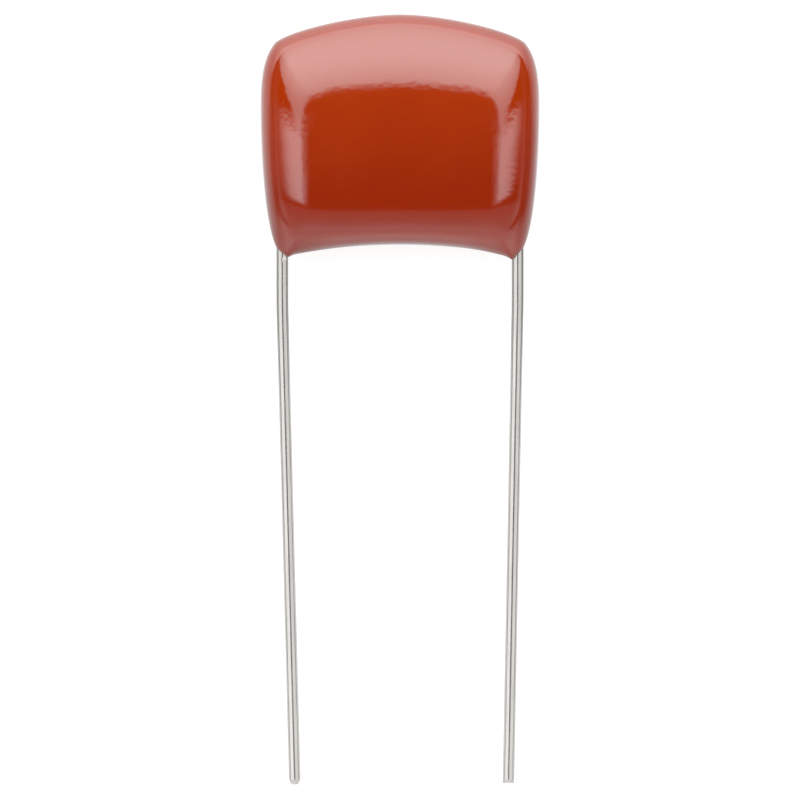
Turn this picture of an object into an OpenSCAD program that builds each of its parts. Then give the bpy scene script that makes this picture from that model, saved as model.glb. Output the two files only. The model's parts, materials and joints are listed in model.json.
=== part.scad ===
// Dipped polyester film capacitor, radial leads.
//
// The part lies on the flat of its back: X runs from lead to lead, Y from the lead ends up to the
// crown, Z through the thickness. The origin is on the back, behind the middle of the wound roll.
// A flattened roll of metallised film, wrapped in plain film, has sprayed metal on both ends. A
// tinned wire is welded to each end, and the whole is dipped in epoxy. The coat is a loft: each
// point of its outline runs round a rounded edge to the nearest point of the face's own outline.

/* [Leads] */
// Distance between the leads where they leave the coat
pitch = 15; // [10:0.5:22.5]
// Diameter of the tinned wire
wire_d = 0.75; // [0.5:0.05:1]
// Wire below the roll, left lead, measured along Y
left_reach = 35.3; // [8:0.1:45]
// Wire below the roll, right lead, measured along Y
right_reach = 35.2; // [8:0.1:45]
// Straight stretch of wire below the roll, before it leans in
straight_reach = 4; // [2.5:0.1:6]
// How far the left lead leans in, in degrees
left_lean = 1.5; // [0.5:0.1:4]
// How far the right lead leans in, in degrees
right_lean = 1.1; // [0.5:0.1:4]
// Radius of the slight bend where a lead starts to lean
bend_r = 60; // [10:5:80]
// How much thinner the wire is through that bend
bend_thinning = 0.01; // [0.004:0.002:0.04]
// Height of the cutter's bevel at the end of the left lead
nip_h = 0.35; // [0.1:0.05:0.6]
// Width that the cutter left at the tip of the left lead
nip_w = 0.38; // [0.2:0.02:0.5]

/* [Wound roll] */
// Height of the wrapped roll, along Y
roll_h = 11.8; // [9:0.1:16]
// Thickness of the wrapped roll
roll_t = 6.4; // [4:0.1:8]
// Thickness of the plain film wrapped round it
wrap_t = 0.15; // [0.05:0.01:0.3]
// Length of the collapsed core, along Y
core_h = 4.6; // [3:0.1:5]
// Width of the slit that the collapsed core leaves
core_gap = 0.2; // [0.1:0.02:0.4]
// Thickness of the sprayed metal on each end of the roll
spray_t = 0.6; // [0.3:0.05:1]

/* [Welds] */
// How deep a wire sits in the sprayed metal
weld_depth = 0.2; // [0.1:0.02:0.3]
// How far the wire reaches up the end of the roll, from the roll's lower edge
weld_reach = 8.8; // [5:0.1:9]
// Length of each flat that the welding tip presses on the wire
flat_len = 1.6; // [0.5:0.1:2]
// Depth of that flat
flat_depth = 0.1; // [0.02:0.02:0.2]
// Distance between the two welds on a wire
weld_gap = 3.4; // [2.5:0.1:4]

/* [Coat] */
// Coat over the flat faces of the roll
face_coat = 0.8; // [0.5:0.05:1.5]
// Coat outside each wire, where the body is widest
side_coat = 1; // [0.7:0.05:1.5]
// Coat above the roll at the crown, where the resin gathers
crown_coat = 1.95; // [1.2:0.05:3]
// Coat below the roll at the middle of the arched foot
foot_coat = 0.88; // [0.6:0.02:1.5]
// Rise of the front face towards its middle
face_rise = 0.05; // [0.02:0.01:0.2]

/* [Outline of the coat] */
// Shoulder: its distance in from the widest point
shoulder_in = 0.88; // [0.5:0.02:1.5]
// Shoulder: its drop from the crown
shoulder_drop = 1.85; // [1.3:0.05:2.2]
// Shoulder: slope of the outline there, in degrees
shoulder_slope = 51; // [40:1:60]
// Shoulder: reach of the curve on the crown's side of it
shoulder_in_bow = 0.9; // [0.5:0.05:1.5]
// Shoulder: reach of the curve on the flank's side of it
shoulder_out_bow = 1.38; // [0.8:0.02:1.8]
// Crown: how far it runs level before it falls, as a share of the way to the shoulder
crown_bow = 0.375; // [0.2:0.005:0.5]
// Drop of the widest point from the crown
widest_drop = 6.05; // [4:0.05:8]
// Flank: how far it runs straight down from the widest point, as a share of its height
widest_bow = 0.12; // [0.05:0.01:0.4]
// Flank: how far it runs straight to the wire at its lower end, as a share of its height
heel_bow = 0.24; // [0.05:0.01:0.4]
// Radius of the arch along the foot
arch_r = 35.8; // [25:0.1:60]
// Slope of the flank where it meets the wire, in degrees from the vertical
heel_slope = 25; // [10:1:35]
// How much higher the coat ends on a wire's outer side than on its inner side
heel_rise = 0.57; // [0.3:0.01:1]
// Lip of coat beside the wire, on both sides
lip = 0.03; // [0.02:0.01:0.15]
// How far the coat has run down inside the right lead, past the arch
run_down = 0.15; // [0:0.01:0.3]
// Stretch of the arch over which it has run down
run_reach = 3; // [1:0.1:5]
// How far the coat clings down the inner side of each wire
cling = 0.1; // [0:0.01:0.3]
// Stretch of the arch over which it turns down to cling
cling_reach = 0.5; // [0.2:0.05:1]

/* [Rounded edge] */
// Depth of the rounded edge at the crown, from the outline to the flat face
crown_edge = 7; // [3:0.1:8]
// Depth of the rounded edge at the sides
side_edge = 3.2; // [1.5:0.1:4]
// Depth of the rounded edge at the foot
foot_edge = 2.4; // [1.5:0.1:4]
// Fullness of the rounded edge: 2 is a quarter of an ellipse, more is fuller
edge_fullness = 2.6; // [2:0.1:3]
// Corner radius of the flat face at its crown end
crown_corner = 0.9; // [0.2:0.1:3]
// Corner radius of the flat face at its foot end
foot_corner = 0.3; // [0.2:0.1:3]
// How much the coat narrows to a ridge where it runs down to a wire, 0 for none
ridge = 0.3; // [0:0.05:0.8]
// Roundness of that ridge, as a share of half the thickness
ridge_round = 0.12; // [0.05:0.01:0.3]
// Reach of that ridge along the outline
ridge_reach = 3; // [1:0.1:5]

/* [Hidden] */
$fn = 96;
LEFT = -1;
RIGHT = 1;

// The roll, its ends and the wires' seats
body_t = roll_t + 2 * face_coat;
mid_z = body_t / 2;
spray_x = pitch / 2 - wire_d / 2 + weld_depth;
film_w = 2 * (spray_x - spray_t);
roll_foot = -roll_h / 2;
wire_top = roll_foot + weld_reach;
bend_y = roll_foot - straight_reach;

// The outline's main points
side_x = pitch / 2 + wire_d / 2 + side_coat;
crown_y = roll_h / 2 + crown_coat;
arch_y = roll_foot - foot_coat;
tip_x = pitch / 2 - wire_d / 2 - lip;
tip_y = arch_y - arch_r + sqrt(arch_r * arch_r - tip_x * tip_x);
heel_x = pitch / 2 + wire_d / 2 + lip;

// The flat face
face_x = side_x - side_edge;
face_top = crown_y - crown_edge;
face_foot = arch_y + foot_edge;
face_mid = [0, (face_top + face_foot) / 2];

// Steps along the outline's stretches, round the edge, and across the domed face
crown_steps = 16;
shoulder_steps = 12;
flank_steps = 10;
heel_steps = 4;
arch_steps = 14;
edge_steps = 12;
dome_steps = 3;
// Crowds the arch's points towards the wires, where it turns down
arch_crowding = 1.6;
// Crowds the edge's rings towards the middle of the thickness, where the ridges are sharpest
edge_crowding = 1.3;

function heading(slope) = [cos(slope), -sin(slope)];
function cubic(a, b, c, d, t) =
    pow(1 - t, 3) * a + 3 * pow(1 - t, 2) * t * b + 3 * (1 - t) * t * t * c + pow(t, 3) * d;
function cubic_run(a, b, c, d, steps) = [for (i = [0 : steps - 1]) cubic(a, b, c, d, i / steps)];

// The arch along the foot, at x > 0: it runs down by a drop towards the wire, and clings to it
function fall(x, reach) = pow(max(0, 1 - (tip_x - x) / reach), 2);
function arch_at(x, drop) = arch_y - arch_r + sqrt(arch_r * arch_r - x * x)
    - drop * fall(x, run_reach) - cling * fall(x, cling_reach);

// Half of the outline, from the crown round to the middle of the arch, for the side at x > 0
function half_outline(drop) = let (
        crown = [0, crown_y],
        shoulder = [side_x - shoulder_in, crown_y - shoulder_drop],
        widest = [side_x, crown_y - widest_drop],
        heel = [heel_x, tip_y + heel_rise],
        tip = [tip_x, arch_at(tip_x, drop)],
        shoulder_dir = heading(shoulder_slope),
        heel_dir = heading(90 + heel_slope),
        flank = widest.y - heel.y,
        third = (tip - heel) / 3
    ) concat(
        cubic_run(crown, crown + [shoulder.x * crown_bow, 0],
                  shoulder - shoulder_dir * shoulder_in_bow, shoulder, crown_steps),
        cubic_run(shoulder, shoulder + shoulder_dir * shoulder_out_bow,
                  widest + [0, shoulder_out_bow], widest, shoulder_steps),
        cubic_run(widest, widest - [0, flank * widest_bow],
                  heel - heel_dir * flank * heel_bow, heel, flank_steps),
        cubic_run(heel, heel + third, tip - third, tip, heel_steps),
        [for (i = [0 : arch_steps])
            let (x = tip_x * (1 - pow(i / arch_steps, arch_crowding))) [x, arch_at(x, drop)]]
    );

// The whole outline, clockwise from the crown
right_half = half_outline(run_down);
left_half = half_outline(0);
outline = concat(
    right_half,
    [for (i = [len(left_half) - 2 : -1 : 1]) [-left_half[i].x, left_half[i].y]]
);

// The ridge's share at a point of the outline: greatest where the outline meets a wire
function ridge_at(p) = let (
        above = p.y - tip_y - heel_rise / 2
    ) ridge * exp(-pow((norm([abs(p.x) - pitch / 2, min(0, -above)]) + max(0, above))
                       / ridge_reach, 2));

// Nearest point of the flat face's outline, a rectangle with rounded corners
function on_face(p) = let (
        corner = p.y > face_mid.y ? crown_corner : foot_corner,
        core = [max(corner - face_x, min(face_x - corner, p.x)),
                max(face_foot + corner, min(face_top - corner, p.y))]
    ) core + (p - core) * corner / norm(p - core);

// How far the edge has run in towards the face, at a height h of 0 to 1 from the middle
function edge_run(h) = 1 - pow(max(0, 1 - pow(h, edge_fullness)), 1 / edge_fullness);
function ridge_run(h) =
    (norm([h, ridge_round]) - ridge_round) / (norm([1, ridge_round]) - ridge_round);

// A point of the rounded edge, which turns into a round-nosed ridge beside a wire
function edge_point(p, angle) = let (
        share = ridge_at(p),
        h = abs(sin(angle)),
        q = p + (on_face(p) - p) * ((1 - share) * edge_run(h) + share * ridge_run(h))
    ) [q.x, q.y, mid_z + (angle < 0 ? mid_z : mid_z - face_rise) * sin(angle)];

// A point of the slightly domed face, at a share k of the way from its middle to its outline
function dome_point(p, k) = let (q = face_mid + (on_face(p) - face_mid) * k)
    [q.x, q.y, body_t - face_rise * (1 - pow(1 - k * k, 2))];

module coat_solid() {
    n = len(outline);
    angles = [for (i = [-edge_steps : edge_steps])
        90 * sign(i) * pow(abs(i) / edge_steps, edge_crowding)];
    edge = [for (a = angles) [for (p = outline) edge_point(p, a)]];
    dome = [for (i = [1 : dome_steps - 1])
        [for (p = outline) dome_point(p, 1 - i / dome_steps)]];
    rings = concat(edge, dome);
    last = len(rings) - 1;
    back_mid = len(rings) * n;
    front_mid = back_mid + 1;
    polyhedron(
        points = concat([for (r = rings) each r],
                        [[face_mid.x, face_mid.y, 0], [face_mid.x, face_mid.y, body_t]]),
        faces = concat(
            [for (r = [0 : last - 1]) for (i = [0 : n - 1])
                let (j = (i + 1) % n) each [[r * n + i, r * n + j, (r + 1) * n + j],
                                            [r * n + i, (r + 1) * n + j, (r + 1) * n + i]]],
            [for (i = [0 : n - 1]) [back_mid, (i + 1) % n, i]],
            [for (i = [0 : n - 1]) [front_mid, last * n + i, last * n + (i + 1) % n]]
        ),
        convexity = 6
    );
}

// A flattened roll's section, h tall and t thick, run out to the width w
module roll_block(w, h, t) {
    translate([0, 0, mid_z]) rotate([90, 0, 90])
        linear_extrude(w, center = true) {
            square([h - t, t], center = true);
            for (end = [-1, 1]) translate([end * (h - t) / 2, 0]) circle(d = t);
        }
}

// One lead: up the end of the roll, down through the coat, a slight bend, and the leaning run
module lead_solid(side, lean, reach, nipped) {
    bend_end = [bend_r * (cos(lean) - 1), -bend_r * sin(lean)];
    lap = atan(bend_thinning / bend_r);
    run = (reach - straight_reach + bend_end.y) / cos(lean);
    translate([side * pitch / 2, bend_y, mid_z]) mirror([side == LEFT ? 1 : 0, 0, 0])
        difference() {
            union() {
                rotate([-90, 0, 0]) cylinder(d = wire_d, h = wire_top - bend_y);
                translate([-bend_r, 0, 0]) rotate([0, 0, -lean - lap])
                    rotate_extrude(angle = lean + 2 * lap)
                        translate([bend_r, 0]) circle(d = wire_d - bend_thinning);
                translate(bend_end) rotate([90, 0, -lean]) cylinder(d = wire_d, h = run);
            }
            for (weld = [-1, 1])
                translate([wire_d / 2 - flat_depth,
                           wire_top - bend_y - weld_reach / 2 + (weld * weld_gap - flat_len) / 2,
                           -wire_d])
                    cube([wire_d, flat_len, 2 * wire_d]);
            if (nipped)
                translate(bend_end) rotate([0, 0, -lean])
                    for (jaw = [-1, 1]) translate([jaw * nip_w / 2, -run, 0])
                        rotate([0, 0, jaw * -atan((wire_d - nip_w) / 2 / nip_h)])
                            translate([jaw * wire_d / 2, 0, 0])
                                cube([wire_d, 4 * nip_h, 2 * wire_d], center = true);
        }
}

module end_spray(side) {
    color("darkgray") difference() {
        translate([side * (spray_x - spray_t / 2), 0, 0]) roll_block(spray_t, roll_h, roll_t);
        lead(side);
    }
}

module lead(side) {
    color("lightgray")
        if (side == LEFT) lead_solid(LEFT, left_lean, left_reach, true);
        else lead_solid(RIGHT, right_lean, right_reach, false);
}

module film_winding() {
    color("slategray") difference() {
        roll_block(film_w, roll_h - 2 * wrap_t, roll_t - 2 * wrap_t);
        translate([0, 0, mid_z]) cube([film_w + 1, core_h, core_gap], center = true);
    }
}

module cover_wrap() {
    color("beige") difference() {
        roll_block(film_w, roll_h, roll_t);
        roll_block(film_w + 1, roll_h - 2 * wrap_t, roll_t - 2 * wrap_t);
    }
}

module epoxy_coat() {
    color([0.68, 0.2, 0.08]) difference() {
        coat_solid();
        roll_block(2 * spray_x, roll_h, roll_t);
        lead(LEFT);
        lead(RIGHT);
    }
}

epoxy_coat();
film_winding();
cover_wrap();
end_spray(LEFT);  // end_spray_left
end_spray(RIGHT);  // end_spray_right
lead(LEFT);  // lead_left
lead(RIGHT);  // lead_right
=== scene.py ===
"""Dipped film capacitor, lying on its flat back: the looks of every piece.

Sizes are in millimetres until a mesh is made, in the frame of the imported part: X from lead to
lead, Y up to the crown, Z from the flat back to the front face.
"""
import json
import math

import bpy
import numpy as np
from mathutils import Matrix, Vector


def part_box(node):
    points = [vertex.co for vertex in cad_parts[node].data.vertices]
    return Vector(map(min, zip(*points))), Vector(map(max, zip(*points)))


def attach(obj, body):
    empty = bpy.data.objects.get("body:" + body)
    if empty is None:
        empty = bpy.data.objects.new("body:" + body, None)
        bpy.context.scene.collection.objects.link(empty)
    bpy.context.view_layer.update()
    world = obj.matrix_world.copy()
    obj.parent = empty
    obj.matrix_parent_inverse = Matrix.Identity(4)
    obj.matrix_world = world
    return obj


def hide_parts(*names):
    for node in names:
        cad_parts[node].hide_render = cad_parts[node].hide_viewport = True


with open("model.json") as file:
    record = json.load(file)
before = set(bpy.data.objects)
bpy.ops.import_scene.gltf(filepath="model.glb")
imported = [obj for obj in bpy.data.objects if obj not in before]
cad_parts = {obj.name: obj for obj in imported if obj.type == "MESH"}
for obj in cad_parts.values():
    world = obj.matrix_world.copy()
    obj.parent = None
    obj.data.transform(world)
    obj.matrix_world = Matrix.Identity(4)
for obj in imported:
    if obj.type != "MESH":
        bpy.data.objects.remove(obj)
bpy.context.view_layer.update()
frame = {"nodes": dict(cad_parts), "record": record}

MM = 0.001
LEFT, RIGHT = -1, 1


# ---------------------------------------------------------------- sizes

def box_mm(node):
    """A node's lowest and highest corners, in millimetres."""
    low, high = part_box(node)
    return np.array(low) / MM, np.array(high) / MM


def mount(name):
    """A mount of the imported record."""
    return next(m for m in frame["record"]["mounts"] if m["name"] == name)


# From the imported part
SIDE_X, CROWN_Y, BODY_T = box_mm("epoxy_coat")[1]
WIRE_TOP = box_mm("lead_left")[1][1]
WIRE_D = 2 * mount("lead_left_end")["dims"]["r_mm"]
MID_Z = BODY_T / 2

# The coat's outline, as it was designed
SIDE_COAT = 1.0  # coat outside a wire, at the widest point
LIP = 0.03  # coat on both sides of a wire, where it ends
CROWN_TO_ARCH = 14.63  # height at the middle
ARCH_R = 35.8  # radius of the arched foot
SHOULDER_IN = 0.88  # shoulder: in from the widest point, and down from the crown
SHOULDER_DROP = 1.85
SHOULDER_SLOPE = 51  # in degrees
SHOULDER_IN_BOW = 0.9  # shoulder: reach of the curve towards the crown, and towards the flank
SHOULDER_OUT_BOW = 1.38
CROWN_BOW = 0.375  # share of the way to the shoulder that the crown runs level
WIDEST_DROP = 6.05  # widest point: down from the crown
WIDEST_BOW = 0.12  # share of the flank that runs straight at its top, and at its lower end
HEEL_BOW = 0.24
HEEL_SLOPE = 25  # slope of the flank's lower end, in degrees from the vertical
HEEL_RISE = 0.57  # how much higher the coat ends on a wire's outer side
RUN_DOWN = 0.15  # how far the coat has run down inside the right lead, and over what stretch
RUN_REACH = 3.0
CLING = 0.1  # how far it clings down a wire's inner side, and over what stretch
CLING_REACH = 0.5
HEEL_X = SIDE_X - SIDE_COAT + LIP
WIRE_X = SIDE_X - SIDE_COAT - WIRE_D / 2
TIP_X = WIRE_X - WIRE_D / 2 - LIP
ARCH_Y = CROWN_Y - CROWN_TO_ARCH
TIP_Y = ARCH_Y - ARCH_R + math.sqrt(ARCH_R ** 2 - TIP_X ** 2)

# The rounded edge and the flat face
CROWN_EDGE = 7.0  # depth of the rounded edge at the crown, the sides and the foot
SIDE_EDGE = 3.2
FOOT_EDGE = 2.4
EDGE_FULLNESS = 2.6  # 2 is a quarter of an ellipse, and more is fuller
FOOT_CORNER = 0.3  # corner radius of the flat face at its foot
FACE_RISE = 0.05  # rise of the front face towards its middle
RIDGE = 0.3  # how much the edge narrows beside a wire, how round that ridge is, and its reach
RIDGE_ROUND = 0.12
RIDGE_REACH = 3.0
FACE_X = SIDE_X - SIDE_EDGE
FACE_TOP = CROWN_Y - CROWN_EDGE
FACE_FOOT = ARCH_Y + FOOT_EDGE
FACE_MID = (FACE_TOP + FACE_FOOT) / 2

# What the cured skin changes in that form
CROWN_CORNER = 1.5  # upper corners of the flat face, a little rounder than the solid's
END_BULGE = 0.1  # bulge of the coat where it ends on a wire
CREASE_BLUR = 0.7  # how wide a crease near a wire is softened, and how far from the wire
CREASE_REACH = 4.0
CREASE_FROM = 0.08  # share of half the thickness, off the middle, at which that starts
CREASE_OVER = 0.4  # share of half the thickness over which it grows
LUMPS_GROW = 1.5  # height over which the skin's lumps grow, so that the back stays flat

# Points of the coat's mesh
CROWN_STEPS = 64  # along each stretch of the outline
SHOULDER_STEPS = 48
FLANK_STEPS = 40
HEEL_STEPS = 12
ARCH_STEPS = 56
ARCH_CROWDING = 1.6  # crowds the arch's points towards the wires
EDGE_RINGS = 26  # rings round each half of the edge, crowded towards the middle
EDGE_CROWDING = 1.15
FACE_RINGS = 14  # rings across each face
BLUR_POINTS = 2048  # points of a ring while its creases are softened

# The leads
BEND_R = 60.0
LEFT_CUT = {"width": 0.38, "drop": 0.26, "run": 0.35}  # the pliers' marks, as cut_end() says
RIGHT_CUT = {"width": WIRE_D, "drop": 0.19, "run": 0.25}
NICK_AT = (-7.35, -7.8, MID_Z)
NICK_SIZE = 0.13
NICK_DEPTH = 0.04
WIRE_SIDES = 48
STRAIGHT_RINGS = 160  # rings down the straight stretch, the bend, the leaning run and the tail
BEND_RINGS = 9
RUN_RINGS = 120
TAIL_RINGS = 12
TAIL = 0.5  # length of the tail, whose closer rings take the cut, and its gap from the run
TAIL_GAP = 0.05


# ---------------------------------------------------------------- helpers

def linear(hex_colour):
    """An sRGB hex colour as linear RGBA."""
    channels = [int(hex_colour[i:i + 2], 16) / 255 for i in (1, 3, 5)]
    return [c / 12.92 if c <= 0.04045 else ((c + 0.055) / 1.055) ** 2.4 for c in channels] + [1.0]


def add_node(tree, kind, settings=None, inputs=None):
    """Adds a node. A setting is an attribute; an input is a value, or a socket to link from."""
    node = tree.nodes.new(kind)
    for name, value in (settings or {}).items():
        setattr(node, name, value)
    for key, value in (inputs or {}).items():
        socket = node.inputs[key]
        if isinstance(value, bpy.types.NodeSocket):
            tree.links.new(value, socket)
        else:
            socket.default_value = value
    return node


def new_material(name):
    """A material with an empty tree of nodes."""
    material = bpy.data.materials.new(name)
    material.use_nodes = True
    material.node_tree.nodes.clear()
    return material, material.node_tree


def finish_material(tree, shader):
    """Ends a material in its surface shader."""
    add_node(tree, "ShaderNodeOutputMaterial", inputs={"Surface": shader})


def ramp(tree, factor, stops):
    """A colour ramp; stops are (position, hex colour) pairs."""
    node = add_node(tree, "ShaderNodeValToRGB", inputs={0: factor})
    elements = node.color_ramp.elements
    while len(elements) < len(stops):
        elements.new(0.5)
    for element, (position, colour) in zip(elements, stops):
        element.position = position
        element.color = linear(colour)
    return node.outputs["Color"]


def add_object(name, data):
    """Puts a new object in the scene."""
    item = bpy.data.objects.new(name, data)
    bpy.context.scene.collection.objects.link(item)
    return item


def new_geometry_tree(name, sockets):
    """A Geometry Nodes tree with Geometry in and out, and more inputs as (name, kind) pairs."""
    tree = bpy.data.node_groups.new(name, "GeometryNodeTree")
    tree.interface.new_socket("Geometry", in_out="INPUT", socket_type="NodeSocketGeometry")
    tree.interface.new_socket("Geometry", in_out="OUTPUT", socket_type="NodeSocketGeometry")
    for socket_name, kind in sockets:
        tree.interface.new_socket(socket_name, in_out="INPUT", socket_type=kind)
    return tree, add_node(tree, "NodeGroupInput").outputs


def end_tree(tree, given, geometry):
    """Ends a tree in real, painted geometry."""
    real = add_node(tree, "GeometryNodeRealizeInstances", inputs={"Geometry": geometry})
    painted = add_node(tree, "GeometryNodeSetMaterial", inputs={
        "Geometry": real.outputs["Geometry"], "Material": given["Material"]})
    add_node(tree, "NodeGroupOutput", inputs={"Geometry": painted.outputs["Geometry"]})


def run_tree(source, tree, values, name):
    """Runs a tree on an object and returns its result as a plain mesh piece of that name."""
    modifier = source.modifiers.new("shape", "NODES")
    modifier.node_group = tree
    for item in tree.interface.items_tree:
        if item.in_out == "INPUT" and item.name in values:
            modifier[item.identifier] = values[item.name]
    graph = bpy.context.evaluated_depsgraph_get()
    mesh = bpy.data.meshes.new_from_object(source.evaluated_get(graph))
    bpy.data.objects.remove(source)
    mesh.name = name
    mesh.shade_smooth()
    return add_object(name, mesh)


def offset_along(tree, geometry, direction, distance):
    """Moves each point by a distance along a direction."""
    offset = add_node(tree, "ShaderNodeVectorMath", settings={"operation": "SCALE"}, inputs={
        0: direction, "Scale": distance})
    return add_node(tree, "GeometryNodeSetPosition", inputs={
        "Geometry": geometry, "Offset": offset.outputs["Vector"]}).outputs["Geometry"]


def maths(tree, operation, *values):
    """The result of a Math node."""
    node = add_node(tree, "ShaderNodeMath", settings={"operation": operation},
                    inputs=dict(enumerate(values)))
    return node.outputs[0]


def product(tree, first, *others):
    """The product of several values."""
    for other in others:
        first = maths(tree, "MULTIPLY", first, other)
    return first


def smooth_range(tree, value, low, high, at_low, at_high):
    """Turns a value into a smooth step from one level to another."""
    node = add_node(tree, "ShaderNodeMapRange", settings={"interpolation_type": "SMOOTHSTEP"},
                    inputs={"Value": value, "From Min": low, "From Max": high,
                            "To Min": at_low, "To Max": at_high})
    return node.outputs["Result"]


def lumps(tree, place, size, height, seed, detail=1.0):
    """Soft lumps of a given size and height, up and down from nothing."""
    noise = add_node(tree, "ShaderNodeTexNoise", settings={"noise_dimensions": "4D"}, inputs={
        "Vector": place, "W": seed, "Scale": maths(tree, "DIVIDE", 1.0, size), "Detail": detail})
    return product(tree, maths(tree, "SUBTRACT", noise.outputs[0], 0.5), height)


def plain_object(name, verts_mm, faces):
    """A mesh object from corners in millimetres."""
    mesh = bpy.data.meshes.new(name)
    mesh.from_pydata([tuple(v * MM for v in p) for p in verts_mm], [], faces)
    return add_object(name, mesh)


def declare(piece, node):
    """Hangs a finished piece on the root body, and hides the imported node that it stands for."""
    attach(piece, "root")
    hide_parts(node)


# ---------------------------------------------------------------- materials

def dipped_epoxy():
    """Pigmented epoxy, dipped and oven-cured: a deep brick red, with painted shade that darkens it
    towards the foot and painted light that lifts it towards the crown, and a wet-looking gloss
    that the fine grain of the cured resin breaks up a little."""
    material, tree = new_material("dipped_epoxy")
    place = add_node(tree, "ShaderNodeTexCoord").outputs["Object"]
    cloud = add_node(tree, "ShaderNodeTexNoise", inputs={
        "Vector": place, "Scale": 1 / (5.0 * MM), "Detail": 3.0, "Roughness": 0.5})
    length = add_node(tree, "ShaderNodeSeparateXYZ", inputs={0: place}).outputs["Y"]
    # Painted light and shade: the tone rises from the foot to the crown, as the light from above
    # the crown falls on it
    painted_light_to_crown = smooth_range(tree, length, -6 * MM, 5 * MM, 0.0, 0.6)
    shade = maths(tree, "MULTIPLY_ADD", cloud.outputs["Fac"], 0.4, painted_light_to_crown)
    tone = ramp(tree, shade, [(0.25, "#8e2301"), (0.75, "#a43103")])
    grain = add_node(tree, "ShaderNodeTexNoise", inputs={
        "Vector": place, "Scale": 1 / (0.3 * MM), "Detail": 2.0, "Roughness": 0.4})
    peel = add_node(tree, "ShaderNodeBump", inputs={
        "Height": grain.outputs["Fac"], "Strength": 1.0, "Distance": 0.005 * MM})
    shader = add_node(tree, "ShaderNodeBsdfPrincipled", inputs={
        "Base Color": tone, "Roughness": 0.06, "IOR": 1.55, "Normal": peel.outputs["Normal"],
        "Subsurface Weight": 0.15, "Subsurface Scale": 0.25 * MM,
        "Subsurface Radius": (1.0, 0.25, 0.1)})
    finish_material(tree, shader.outputs["BSDF"])
    return material


def tinned_wire():
    """Drawn wire with a hot tin coat: bright, faintly streaked along its length by the die."""
    material, tree = new_material("tinned_wire")
    place = add_node(tree, "ShaderNodeTexCoord").outputs["Object"]
    along = add_node(tree, "ShaderNodeMapping", inputs={"Vector": place, "Scale": (1, 0.04, 1)})
    streak = add_node(tree, "ShaderNodeTexNoise", inputs={
        "Vector": along.outputs["Vector"], "Scale": 1 / (0.12 * MM), "Detail": 3.0})
    tone = ramp(tree, streak.outputs["Fac"], [(0.35, "#b7b4b1"), (0.65, "#c3c0bd")])
    patch = add_node(tree, "ShaderNodeTexNoise", inputs={
        "Vector": place, "Scale": 1 / (1.2 * MM), "Detail": 4.0})
    rough = add_node(tree, "ShaderNodeMapRange", inputs={
        "Value": patch.outputs["Fac"], "To Min": 0.12, "To Max": 0.22})
    bump = add_node(tree, "ShaderNodeBump", inputs={
        "Height": streak.outputs["Fac"], "Strength": 0.25, "Distance": 0.01 * MM})
    shader = add_node(tree, "ShaderNodeBsdfPrincipled", inputs={
        "Base Color": tone, "Metallic": 0.8, "Roughness": rough.outputs["Result"],
        "Normal": bump.outputs["Normal"]})
    finish_material(tree, shader.outputs["BSDF"])
    return material


def wound_film():
    """Aluminised polyester film, tightly wound: silver grey, with the fine lines of its turns."""
    material, tree = new_material("wound_film")
    place = add_node(tree, "ShaderNodeTexCoord").outputs["Object"]
    turns = add_node(tree, "ShaderNodeTexWave", settings={
        "wave_type": "BANDS", "bands_direction": "Z"}, inputs={
        "Vector": place, "Scale": 1 / (6.0 * MM), "Distortion": 0.4})
    tone = ramp(tree, turns.outputs["Fac"], [(0.0, "#8d8f95"), (1.0, "#b9bbc1")])
    shader = add_node(tree, "ShaderNodeBsdfPrincipled", inputs={
        "Base Color": tone, "Metallic": 0.7, "Roughness": 0.3})
    finish_material(tree, shader.outputs["BSDF"])
    return material


def plain_film():
    """Clear polyester film in several turns: milky, smooth, slightly yellow."""
    material, tree = new_material("plain_film")
    place = add_node(tree, "ShaderNodeTexCoord").outputs["Object"]
    haze = add_node(tree, "ShaderNodeTexNoise", inputs={"Vector": place, "Scale": 1 / (4 * MM)})
    tone = ramp(tree, haze.outputs["Fac"], [(0.3, "#d9d5c2"), (0.7, "#e6e3d4")])
    shader = add_node(tree, "ShaderNodeBsdfPrincipled", inputs={
        "Base Color": tone, "Roughness": 0.15, "IOR": 1.6})
    finish_material(tree, shader.outputs["BSDF"])
    return material


def sprayed_zinc():
    """Flame-sprayed zinc: matt grey, built of frozen droplets about 0.1 mm across."""
    material, tree = new_material("sprayed_zinc")
    place = add_node(tree, "ShaderNodeTexCoord").outputs["Object"]
    drops = add_node(tree, "ShaderNodeTexVoronoi", inputs={
        "Vector": place, "Scale": 1 / (0.1 * MM)})
    tone = ramp(tree, drops.outputs["Distance"], [(0.0, "#a3a5a6"), (0.8, "#7c7e80")])
    bump = add_node(tree, "ShaderNodeBump", settings={"invert": True}, inputs={
        "Height": drops.outputs["Distance"], "Strength": 0.6, "Distance": 0.03 * MM})
    shader = add_node(tree, "ShaderNodeBsdfPrincipled", inputs={
        "Base Color": tone, "Metallic": 0.8, "Roughness": 0.6, "Normal": bump.outputs["Normal"]})
    finish_material(tree, shader.outputs["BSDF"])
    return material


# ---------------------------------------------------------------- the coat

def cubic_run(a, b, c, d, steps):
    """Points of a cubic curve between four corners, without its last one."""
    t = (np.arange(steps) / steps)[:, None]
    a, b, c, d = (np.array(p, float) for p in (a, b, c, d))
    return (1 - t) ** 3 * a + 3 * (1 - t) ** 2 * t * b + 3 * (1 - t) * t * t * c + t ** 3 * d


def heading(slope):
    """A direction that falls by a slope in degrees."""
    return np.array([math.cos(math.radians(slope)), -math.sin(math.radians(slope))])


def arch_height(x, drop):
    """The arch along the foot, which runs down by a drop towards the wire and clings to it."""
    run = np.maximum(0, 1 - (TIP_X - x) / RUN_REACH)
    hug = np.maximum(0, 1 - (TIP_X - x) / CLING_REACH)
    return ARCH_Y - ARCH_R + np.sqrt(ARCH_R ** 2 - x * x) - drop * run ** 2 - CLING * hug ** 2


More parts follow.
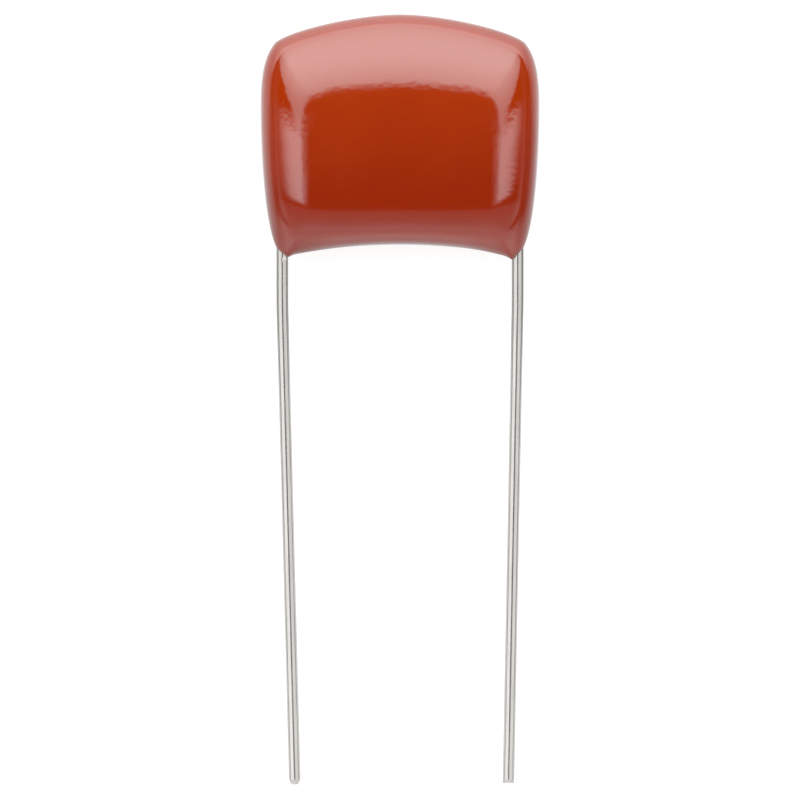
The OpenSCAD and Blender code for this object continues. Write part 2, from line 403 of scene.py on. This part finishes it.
def half_outline(drop):
    """Half of the outline, crown to arch, on the side at x > 0."""
    crown = np.array([0, CROWN_Y])
    shoulder = np.array([SIDE_X - SHOULDER_IN, CROWN_Y - SHOULDER_DROP])
    widest = np.array([SIDE_X, CROWN_Y - WIDEST_DROP])
    tip = np.array([TIP_X, arch_height(TIP_X, drop)])
    heel = np.array([HEEL_X, TIP_Y + HEEL_RISE])
    shoulder_dir = heading(SHOULDER_SLOPE)
    heel_dir = heading(90 + HEEL_SLOPE)
    flank = widest[1] - heel[1]
    bulge = np.array([END_BULGE, -END_BULGE])
    x = TIP_X * (1 - (np.arange(ARCH_STEPS + 1) / ARCH_STEPS) ** ARCH_CROWDING)
    return np.vstack([
        cubic_run(crown, crown + [shoulder[0] * CROWN_BOW, 0],
                  shoulder - shoulder_dir * SHOULDER_IN_BOW, shoulder, CROWN_STEPS),
        cubic_run(shoulder, shoulder + shoulder_dir * SHOULDER_OUT_BOW,
                  widest + [0, SHOULDER_OUT_BOW], widest, SHOULDER_STEPS),
        cubic_run(widest, widest - [0, flank * WIDEST_BOW],
                  heel - heel_dir * flank * HEEL_BOW, heel, FLANK_STEPS),
        cubic_run(heel, heel + (tip - heel) / 3 + bulge,
                  tip - (tip - heel) / 3 + bulge, tip, HEEL_STEPS),
        np.column_stack([x, arch_height(x, drop)])])


def whole_outline():
    """The outline, clockwise from the crown."""
    right, left = half_outline(RUN_DOWN), half_outline(0)
    return np.vstack([right, left[-2:0:-1] * [-1, 1]])


def ridge_share(p):
    """How far the edge turns into a ridge at each outline point: most beside a wire."""
    drop = TIP_Y + HEEL_RISE / 2 - p[:, 1]
    d = np.hypot(np.abs(p[:, 0]) - WIRE_X, np.minimum(0, drop)) + np.maximum(0, -drop)
    return RIDGE * np.exp(-(d / RIDGE_REACH) ** 2)


def on_face(p):
    """Where each outline point lands on the flat face, a rectangle with rounded corners."""
    corner = np.where(p[:, 1] > FACE_MID, CROWN_CORNER, FOOT_CORNER)
    core = np.column_stack([
        np.clip(p[:, 0], corner - FACE_X, FACE_X - corner),
        np.clip(p[:, 1], FACE_FOOT + corner, FACE_TOP - corner)])
    away = p - core
    return core + away * (corner / np.linalg.norm(away, axis=1))[:, None]


def softened(ring, along, near_wire, blur):
    """Rounds a ring's corners beside the wires, as if drawn with a pen that blurs this wide."""
    whole = along[-1]
    even = np.linspace(0, whole, BLUR_POINTS, endpoint=False)
    closed = np.vstack([ring, ring[:1]])
    rates = np.fft.rfftfreq(BLUR_POINTS, whole / BLUR_POINTS)
    damping = np.exp(-2 * (math.pi * rates * blur) ** 2)
    result = ring.copy()
    for axis in (0, 1):
        drawn = np.interp(even, along, closed[:, axis])
        blurred = np.fft.irfft(np.fft.rfft(drawn) * damping, BLUR_POINTS)
        back = np.interp(along[:-1], even, blurred, period=whole)
        result[:, axis] += near_wire * (back - ring[:, axis])
    return result


def edge_rings():
    """Rings round the edge, from the back up to the front face."""
    outline = whole_outline()
    face = on_face(outline)
    share = ridge_share(outline)
    steps = np.linalg.norm(np.roll(outline, -1, axis=0) - outline, axis=1)
    along = np.concatenate([[0], np.cumsum(steps)])
    off_wire = np.hypot(np.abs(outline[:, 0]) - WIRE_X, outline[:, 1] - TIP_Y)
    near_wire = np.exp(-(off_wire / CREASE_REACH) ** 4)
    rings = []
    for i in range(-EDGE_RINGS, EDGE_RINGS + 1):
        angle = math.pi / 2 * np.sign(i) * (abs(i) / EDGE_RINGS) ** EDGE_CROWDING
        h = abs(math.sin(angle))
        edge_run = 1 - max(0, 1 - h ** EDGE_FULLNESS) ** (1 / EDGE_FULLNESS)
        nose = math.hypot(h, RIDGE_ROUND) - RIDGE_ROUND
        ridge_run = nose / (math.hypot(1, RIDGE_ROUND) - RIDGE_ROUND)
        run = ((1 - share) * edge_run + share * ridge_run)[:, None]
        z = MID_Z + (MID_Z if i < 0 else MID_Z - FACE_RISE) * math.sin(angle)
        blur = CREASE_BLUR * min(1, max(0, (h - CREASE_FROM) / CREASE_OVER))
        ring = softened(outline + (face - outline) * run, along, near_wire, blur)
        rings.append(np.column_stack([ring, np.full(len(outline), z)]))
    return rings


def coat_mesh():
    """The coat's corners and faces: the edge, the domed front and the flat back."""
    rings = edge_rings()
    face = rings[-1][:, :2]
    mid = np.array([0, FACE_MID])
    for i in range(1, FACE_RINGS):
        k = 1 - i / FACE_RINGS
        ring = mid + (face - mid) * k
        top = np.full(len(face), BODY_T - FACE_RISE * (1 - (1 - k * k) ** 2))
        rings.append(np.column_stack([ring, top]))
        rings.insert(0, np.column_stack([ring, np.zeros(len(face))]))
    n, last = len(face), len(rings) - 1
    verts = np.vstack(rings + [[[*mid, 0]], [[*mid, BODY_T]]])
    faces = [(r * n + i, (r + 1) * n + i, (r + 1) * n + (i + 1) % n, r * n + (i + 1) % n)
             for r in range(last) for i in range(n)]
    back, front = len(verts) - 2, len(verts) - 1
    faces += [(back, i, (i + 1) % n) for i in range(n)]
    faces += [(front, last * n + (i + 1) % n, last * n + i) for i in range(n)]
    return verts, faces


def cured_skin():
    """Resin cures with slow swells and a fine orange peel; the flat back stays flat."""
    tree, given = new_geometry_tree("cured_skin", [
        ("Swell Size", "NodeSocketFloat"), ("Swell Height", "NodeSocketFloat"),
        ("Peel Size", "NodeSocketFloat"), ("Peel Height", "NodeSocketFloat"),
        ("Seed", "NodeSocketFloat"), ("Material", "NodeSocketMaterial")])
    place = add_node(tree, "GeometryNodeInputPosition").outputs["Position"]
    normal = add_node(tree, "GeometryNodeInputNormal").outputs["Normal"]
    swell = lumps(tree, place, given["Swell Size"], given["Swell Height"], given["Seed"])
    peel = lumps(tree, place, given["Peel Size"], given["Peel Height"], given["Seed"], 2.0)
    above = add_node(tree, "ShaderNodeSeparateXYZ", inputs={0: place}).outputs["Z"]
    free = smooth_range(tree, above, 0.0, LUMPS_GROW * MM, 0.0, 1.0)
    height = product(tree, maths(tree, "ADD", swell, peel), free)
    end_tree(tree, given, offset_along(tree, given["Geometry"], normal, height))
    return tree


def make_coat(material):
    """The dipped coat: its smooth form, with the cured skin run over it."""
    verts, faces = coat_mesh()
    smooth = plain_object("smooth_coat", verts, faces)
    piece = run_tree(smooth, cured_skin(), {
        "Swell Size": 3.0 * MM, "Swell Height": 0.02 * MM, "Peel Size": 0.6 * MM,
        "Peel Height": 0.003 * MM, "Seed": 3.0, "Material": material}, "dipped_coat")
    declare(piece, "epoxy_coat")
    return piece


# ---------------------------------------------------------------- the leads

def lead_path(side, pin):
    """The wire's middle line, from the weld down to its free end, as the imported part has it."""
    centre = np.array(pin["pos_m"]) / MM
    along = np.array(pin["axis"])
    half = pin["dims"]["length_mm"] / 2
    start, end = centre - along * half, centre + along * half
    lean = math.asin(abs(along[0]))
    bend_top = start[1] + BEND_R * math.sin(lean)
    straight = [np.array([side * WIRE_X, y, MID_Z])
                for y in np.linspace(WIRE_TOP, bend_top, STRAIGHT_RINGS)[:-1]]
    bend = [np.array([side * (WIRE_X - BEND_R * (1 - math.cos(a))),
                      bend_top - BEND_R * math.sin(a), MID_Z])
            for a in np.linspace(0, lean, BEND_RINGS)[:-1]]
    run = [start + (end - start) * t
           for t in np.linspace(0, 1 - TAIL / (2 * half), RUN_RINGS)]
    tail = [end - along * d for d in np.linspace(TAIL - TAIL_GAP, 0, TAIL_RINGS)]
    return straight + bend + run + tail


def path_curve(name, points):
    """A curve object through points in millimetres."""
    curve = bpy.data.curves.new(name, "CURVE")
    curve.dimensions = "3D"
    spline = curve.splines.new("POLY")
    spline.points.add(len(points) - 1)
    for place, p in zip(spline.points, points):
        place.co = (*(p * MM), 1)
    return add_object(name, curve)


def drawn_wire():
    """A round wire along a path, with the long lines of the drawing die and soft dents."""
    tree, given = new_geometry_tree("drawn_wire", [
        ("Diameter", "NodeSocketFloat"), ("Sides", "NodeSocketInt"),
        ("Dent Size", "NodeSocketFloat"), ("Dent Height", "NodeSocketFloat"),
        ("Seed", "NodeSocketFloat"), ("Material", "NodeSocketMaterial")])
    ring = add_node(tree, "GeometryNodeCurvePrimitiveCircle", inputs={
        "Resolution": given["Sides"], "Radius": maths(tree, "DIVIDE", given["Diameter"], 2.0)})
    swept = add_node(tree, "GeometryNodeCurveToMesh", inputs={
        "Curve": given["Geometry"], "Profile Curve": ring.outputs["Curve"], "Fill Caps": True})
    place = add_node(tree, "GeometryNodeInputPosition").outputs["Position"]
    normal = add_node(tree, "GeometryNodeInputNormal").outputs["Normal"]
    stretched = add_node(tree, "ShaderNodeVectorMath", settings={"operation": "MULTIPLY"},
                         inputs={0: place, 1: (1.0, 0.25, 1.0)}).outputs["Vector"]
    dents = lumps(tree, stretched, given["Dent Size"], given["Dent Height"], given["Seed"], 2.0)
    end_tree(tree, given, offset_along(tree, swept.outputs["Mesh"], normal, dents))
    return tree


def cut_end(mesh, pin, width, drop, run):
    """Cut by pliers: the end is pressed to a width over its last run, and its top slopes down."""
    along = np.array(pin["axis"])
    across = np.array([-along[1], along[0], 0])
    end = np.array(pin["pos_m"]) / MM + along * pin["dims"]["length_mm"] / 2
    for vert in mesh.vertices:
        off = np.array(vert.co) / MM - end
        share = 1 + np.dot(off, along) / run
        if share > 0:
            half = WIRE_D / 2 + share * (width - WIRE_D) / 2
            side = np.dot(off, across)
            off += across * (np.clip(side, -half, half) - side)
            off[2] = min(off[2], WIRE_D / 2 - share * drop)
            vert.co = (end + off) * MM
    for face in mesh.polygons:
        face.use_smooth = len(face.vertices) == 4


def nick(mesh, place, size, depth):
    """A small dent where the crimped wire was pulled out of its tape."""
    for vert in mesh.vertices:
        off = np.array(vert.co) / MM - place
        if off[2] > 0:
            vert.co.z -= depth * math.exp(-(off[0] ** 2 + off[1] ** 2) / size ** 2) * MM


def make_lead(name, side, tree, material, seed):
    """One lead. The coat's gloss doesn't show it: a sharp mirrored line would read as a crease,
    so the floor's gloss holds a soft shade in its place."""
    pin = mount(name + "_end")
    source = path_curve(name + "_path", lead_path(side, pin))
    piece = run_tree(source, tree, {
        "Diameter": WIRE_D * MM, "Sides": WIRE_SIDES, "Dent Size": 0.5 * MM,
        "Dent Height": 0.006 * MM, "Seed": seed, "Material": material}, name + "_wire")
    cut_end(piece.data, pin, **(LEFT_CUT if side == LEFT else RIGHT_CUT))
    if side == LEFT:
        nick(piece.data, np.array(NICK_AT), NICK_SIZE, NICK_DEPTH)
    piece.visible_glossy = False
    declare(piece, name)
    return piece


# ---------------------------------------------------------------- stage, light and camera

VIEW_W = 51.0  # width of the picture, and its middle
VIEW_MID = (0.0, -16.7)
LENS = 200
SENSOR = 36
CLIP_START = 0.01  # in metres

FLOOR_REACH = 1500.0
FLOOR_SEEN = 0.85  # the floor's own light to the camera, added to what the lamps give it
# The floor's level in the gloss, in steps along Y: (from, to, level before, level after). The
# near steps keep a share of their level out at the sides, and the far ones lose it there.
NEAR_STEPS = ((-10, 0, 0.6, 1.0), (-17, -9.5, 0.6, 0.0))
FAR_STEPS = ((8, 22, 0.0, 1.08), (20, 60, 0.0, 1.9))
LIT_MID_X = -3  # middle of that light, and half the length over which its sides stay parallel
LIT_MID_Y = -4
LIT_HALF_LENGTH = 4
SIDE_FROM = 11  # where its sides start and end
SIDE_TO = 28
SHADE = 0.38  # the soft shade that stands for the wires in it
SHADE_REACH = 4

ROOM_DARK = 0.02  # the room's faintest level in the gloss, and its rise towards the foot's side
ROOM_RISE = 0.62

# The lamps, in metres
PANEL_AWAY = 0.6
COAT_LENS = (0.015, 0.04)  # the dark spot of the lens in a panel: X and Y of the way up to it
WIRE_LENS = (0.0, -0.03)
KEY_AT = (-0.04, 0.2, 0.66)
KEY_SIZE = 0.6
KEY_POWER = 3.2  # in watts


def wire_shade(tree, x, y):
    """The soft shade of the wires, from under the coat's foot out to where it fades."""
    off_wires = maths(tree, "ABSOLUTE", maths(
        tree, "SUBTRACT", maths(tree, "ABSOLUTE", x), WIRE_X * MM))
    return product(tree, smooth_range(tree, y, -12 * MM, -7 * MM, 1.0, 0.0),
                   smooth_range(tree, y, -28 * MM, -14 * MM, 0.0, 1.0),
                   smooth_range(tree, off_wires, 0.0, SHADE_REACH * MM, SHADE, 0.0))


def floor_gloss(tree, x, y):
    """The floor's level in the gloss: pale round the foot, and paler far beyond the crown."""
    off_x = maths(tree, "ABSOLUTE", maths(tree, "SUBTRACT", x, LIT_MID_X * MM))
    off_y = maths(tree, "ABSOLUTE", maths(tree, "SUBTRACT", y, LIT_MID_Y * MM))
    beyond = maths(tree, "MAXIMUM", maths(tree, "SUBTRACT", off_y, LIT_HALF_LENGTH * MM), 0.0)
    past = maths(tree, "SUBTRACT", off_x, beyond)
    kept = product(tree, smooth_range(tree, x, -20 * MM, 20 * MM, 0.34, 0.17),
                   smooth_range(tree, y, 3 * MM, 9 * MM, 1.0, 0.3))
    level = 0.0
    for steps, at_side in ((NEAR_STEPS, kept), (FAR_STEPS, 0.0)):
        aside = smooth_range(tree, past, SIDE_FROM * MM, SIDE_TO * MM, 1.0, at_side)
        for start, end, before, after in steps:
            step = smooth_range(tree, y, start * MM, end * MM, before, after)
            level = maths(tree, "MULTIPLY_ADD", step, aside, level)
    return product(tree, level, maths(tree, "SUBTRACT", 1.0, wire_shade(tree, x, y)))


def floor_bounce(tree, x, y):
    """The light that the floor throws up: strong below the foot, weaker beside the coat."""
    return product(tree, smooth_range(tree, y, -16 * MM, -4 * MM, 2.6, 0.9), smooth_range(
        tree, maths(tree, "ABSOLUTE", x), 9 * MM, 20 * MM, 1.0, 0.7))


def make_floor():
    """A white floor. The camera, the gloss and the diffuse light each find a level of their own
    in it, and in the gloss it isn't lit by the lamps."""
    r = FLOOR_REACH
    floor = plain_object("floor", [(-r, -r, 0), (r, -r, 0), (r, r, 0), (-r, r, 0)],
                         [(0, 1, 2, 3)])
    material, tree = new_material("pale_floor")
    place = add_node(tree, "ShaderNodeTexCoord").outputs["Object"]
    spot = add_node(tree, "ShaderNodeSeparateXYZ", inputs={0: place}).outputs
    path = add_node(tree, "ShaderNodeLightPath").outputs
    seen = maths(tree, "MAXIMUM", path["Is Camera Ray"], path["Is Transmission Ray"])
    bounced = product(tree, path["Is Diffuse Ray"], floor_bounce(tree, spot["X"], spot["Y"]))
    mirrored = product(tree, path["Is Glossy Ray"], floor_gloss(tree, spot["X"], spot["Y"]))
    lit = maths(tree, "ADD", bounced, mirrored)
    emit = add_node(tree, "ShaderNodeEmission", inputs={
        "Strength": maths(tree, "MULTIPLY_ADD", seen, FLOOR_SEEN, lit)})
    matt = add_node(tree, "ShaderNodeBsdfDiffuse", inputs={"Color": linear("#888888")})
    plain = add_node(tree, "ShaderNodeMixShader", inputs={
        0: path["Is Glossy Ray"], 1: matt.outputs["BSDF"]})
    both = add_node(tree, "ShaderNodeAddShader", inputs={
        0: emit.outputs["Emission"], 1: plain.outputs["Shader"]})
    finish_material(tree, both.outputs["Shader"])
    floor.data.materials.append(material)


def room_gloss(tree, x, behind, up):
    """The room in the gloss: paler towards the foot's side and low down, near dark above."""
    foot = maths(tree, "MULTIPLY_ADD", maths(tree, "MAXIMUM", behind, 0.0), ROOM_RISE,
                 maths(tree, "ADD", smooth_range(tree, behind, 0.05, 0.22, 0.0, 0.36),
                       smooth_range(tree, behind, 0.72, 1.0, 0.0, 0.26)))
    low = product(tree, smooth_range(tree, x, -1.0, 1.0, 0.52, 0.48),
                  smooth_range(tree, up, 0.1, 0.45, 1.0, 0.0),
                  smooth_range(tree, behind, -0.2, -0.06, 0.3, 1.0),
                  smooth_range(tree, behind, 0.25, 0.65, 1.0, 0.2))
    return maths(tree, "ADD", maths(tree, "ADD", foot, low), ROOM_DARK)


def room_fill(tree, behind, up):
    """The room's plain fill, a little weaker from above and from the foot's side."""
    return product(tree, smooth_range(tree, up, 0.0, 0.8, 1.2, 0.65),
                   smooth_range(tree, behind, 0.1, 1.0, 1.0, 0.7))


def make_world():
    """A white room round the floor. The camera sees it white, and the gloss and the diffuse
    light find it as room_gloss and room_fill say."""
    world = bpy.data.worlds.new("studio")
    bpy.context.scene.world = world
    world.use_nodes = True
    tree = world.node_tree
    tree.nodes.clear()
    direction = add_node(tree, "ShaderNodeTexCoord").outputs["Generated"]
    axes = add_node(tree, "ShaderNodeSeparateXYZ", inputs={0: direction}).outputs
    up, behind = axes["Z"], maths(tree, "MULTIPLY", axes["Y"], -1.0)
    path = add_node(tree, "ShaderNodeLightPath").outputs
    seen = maths(tree, "MAXIMUM", path["Is Camera Ray"], path["Is Transmission Ray"])
    mirrored = product(tree, path["Is Glossy Ray"], room_gloss(tree, axes["X"], behind, up))
    fill = product(tree, path["Is Diffuse Ray"], room_fill(tree, behind, up))
    level = maths(tree, "ADD", maths(tree, "ADD", seen, mirrored), fill)
    sky = add_node(tree, "ShaderNodeBackground", inputs={
        "Color": linear("#ffffff"), "Strength": level})
    add_node(tree, "ShaderNodeOutputWorld", inputs={"Surface": sky.outputs["Background"]})


def mirrored_by(name, pieces):
    """A group of pieces whose gloss alone shows a lamp."""
    group = bpy.data.collections.new(name)
    for piece in pieces:
        group.objects.link(piece)
    return group


def lamp_holder(lamp, place):
    """Puts a lamp in its place, aimed at the part and unseen by the camera."""
    holder = add_object(lamp.name, lamp)
    holder.location = place
    holder.rotation_euler = (-place).to_track_quat("-Z", "Y").to_euler()
    holder.visible_camera = False
    return holder


def panel_level(tree, height, fades, gap, lens, dish):
    """How bright a panel is at each point: see panel()."""
    across = add_node(tree, "ShaderNodeSeparateXYZ", inputs={
        0: add_node(tree, "ShaderNodeNewGeometry").outputs["Parametric"]}).outputs
    left, low = across["X"], across["Y"]
    right, high = maths(tree, "SUBTRACT", 1.0, left), maths(tree, "SUBTRACT", 1.0, low)
    towards = add_node(tree, "ShaderNodeVectorMath", settings={"operation": "NORMALIZE"}, inputs={
        0: add_node(tree, "ShaderNodeNewGeometry").outputs["Position"]}).outputs["Vector"]
    off_lens = add_node(tree, "ShaderNodeVectorMath", settings={"operation": "DISTANCE"}, inputs={
        0: towards, 1: (*lens, 1.0)}).outputs["Value"]
    inner, outer, at_lens = gap
    level = smooth_range(tree, off_lens, inner, outer, at_lens, 1.0)
    for share, over in zip((left, right, high, low), fades):
        level = product(tree, smooth_range(tree, share, 0.0, over, 0.0, 1.0), level)
    off_middle = maths(tree, "SQRT", maths(
        tree, "ADD", maths(tree, "POWER", maths(tree, "SUBTRACT", left, 0.5), 2.0),
        maths(tree, "POWER", maths(tree, "SUBTRACT", low, 0.5), 2.0)))
    for start, end, before, after in dish:
        step = smooth_range(tree, off_middle, start / height, end / height, before, after)
        level = product(tree, step, level)
    return level


def panel(name, group, aim, reach, radiance, fades, gap, lens, tint="#ffffff", dish=()):
    """A soft rectangular lamp that only the gloss of one group of pieces shows. It is aimed from
    an azimuth, with a spread, and reaches from an angle off the vertical down to another. Its
    radiance is what a mirror shows. At each edge, left, right, top and foot, it fades out over a
    share of its size. Round the lens it leaves a gap: (dark within, lit beyond, level within).
    The steps of a dish, (from, to, level, level) in metres off the middle of a square panel,
    make it a round lamp."""
    height = 2 * PANEL_AWAY * math.tan(math.radians((reach[1] - reach[0]) / 2))
    width = 2 * PANEL_AWAY * math.tan(math.radians(aim[1] / 2))
    lamp = bpy.data.lights.new(name, "AREA")
    lamp.shape = "RECTANGLE"
    lamp.size, lamp.size_y = width, height
    lamp.energy = radiance * math.pi * width * height
    lamp.use_nodes = True
    tree = lamp.node_tree
    tree.nodes.clear()
    glow = add_node(tree, "ShaderNodeEmission", inputs={
        "Color": linear(tint), "Strength": panel_level(tree, height, fades, gap, lens, dish)})
    add_node(tree, "ShaderNodeOutputLight", inputs={"Surface": glow.outputs["Emission"]})
    around, down = math.radians(aim[0]), math.radians(sum(reach) / 2)
    place = Vector((math.sin(down) * math.cos(around), math.sin(down) * math.sin(around),
                    math.cos(down))) * PANEL_AWAY
    holder = lamp_holder(lamp, place)
    holder.visible_diffuse = False
    holder.light_linking.receiver_collection = group


def make_panels(coat, wires):
    """A dish over the crown and a strip at each side for the coat, and two cards for the wires."""
    coat_group = mirrored_by("coat_panels", [coat])
    wire_group = mirrored_by("wire_panels", wires)
    panel("crown_dish", coat_group, aim=(90, 117), reach=(3, 120), radiance=6.6,
          fades=(0.01, 0.01, 0.01, 0.58), gap=(0.18, 0.28, 0.0), lens=COAT_LENS, tint="#e6ffff",
          dish=((0.2, 0.95, 1.0, 0.38), (0.87, 0.97, 1.0, 0.0)))
    panel("left_panel", coat_group, aim=(177.3, 16), reach=(3, 80), radiance=4.4,
          fades=(0.3, 0.66, 0.18, 0.66), gap=(0.02, 0.1, 0.0), lens=COAT_LENS)
    panel("right_panel", coat_group, aim=(5, 13), reach=(3, 80), radiance=3.85,
          fades=(0.55, 0.28, 0.22, 0.62), gap=(0.02, 0.1, 0.0), lens=COAT_LENS)
    for name, azimuth, radiance in (("left_card", 180, 1.6), ("right_card", 0, 1.2)):
        panel(name, wire_group, aim=(azimuth, 70), reach=(12, 80), radiance=radiance,
              fades=(0.01, 0.01, 0.06, 0.22), gap=(0.15, 0.3, 0.16), lens=WIRE_LENS)


def make_key():
    """The broad, even lamp that lights the part from above its crown."""
    lamp = bpy.data.lights.new("key", "AREA")
    lamp.shape = "DISK"
    lamp.size = KEY_SIZE
    lamp.energy = KEY_POWER
    lamp_holder(lamp, Vector(KEY_AT)).visible_glossy = False


def make_camera():
    """A long lens that looks straight down on the part."""
    camera = bpy.data.cameras.new("camera")
    camera.lens, camera.sensor_width = LENS, SENSOR
    camera.clip_start = CLIP_START
    holder = add_object("camera", camera)
    away = VIEW_W * MM * LENS / SENSOR
    holder.location = (VIEW_MID[0] * MM, VIEW_MID[1] * MM, MID_Z * MM + away)
    bpy.context.scene.camera = holder


# ---------------------------------------------------------------- the scene

bpy.context.scene.view_settings.view_transform = "Standard"
make_camera()
make_world()
make_floor()
make_key()

coat = make_coat(dipped_epoxy())
wire = tinned_wire()
wire_tree = drawn_wire()
left = make_lead("lead_left", LEFT, wire_tree, wire, 1.0)
right = make_lead("lead_right", RIGHT, wire_tree, wire, 2.0)
make_panels(coat, [left, right])
zinc = sprayed_zinc()
looks = {"film_winding": wound_film(), "cover_wrap": plain_film(),
         "end_spray_left": zinc, "end_spray_right": zinc}
for name, material in looks.items():
    for slot in frame["nodes"][name].material_slots:
        slot.material = material
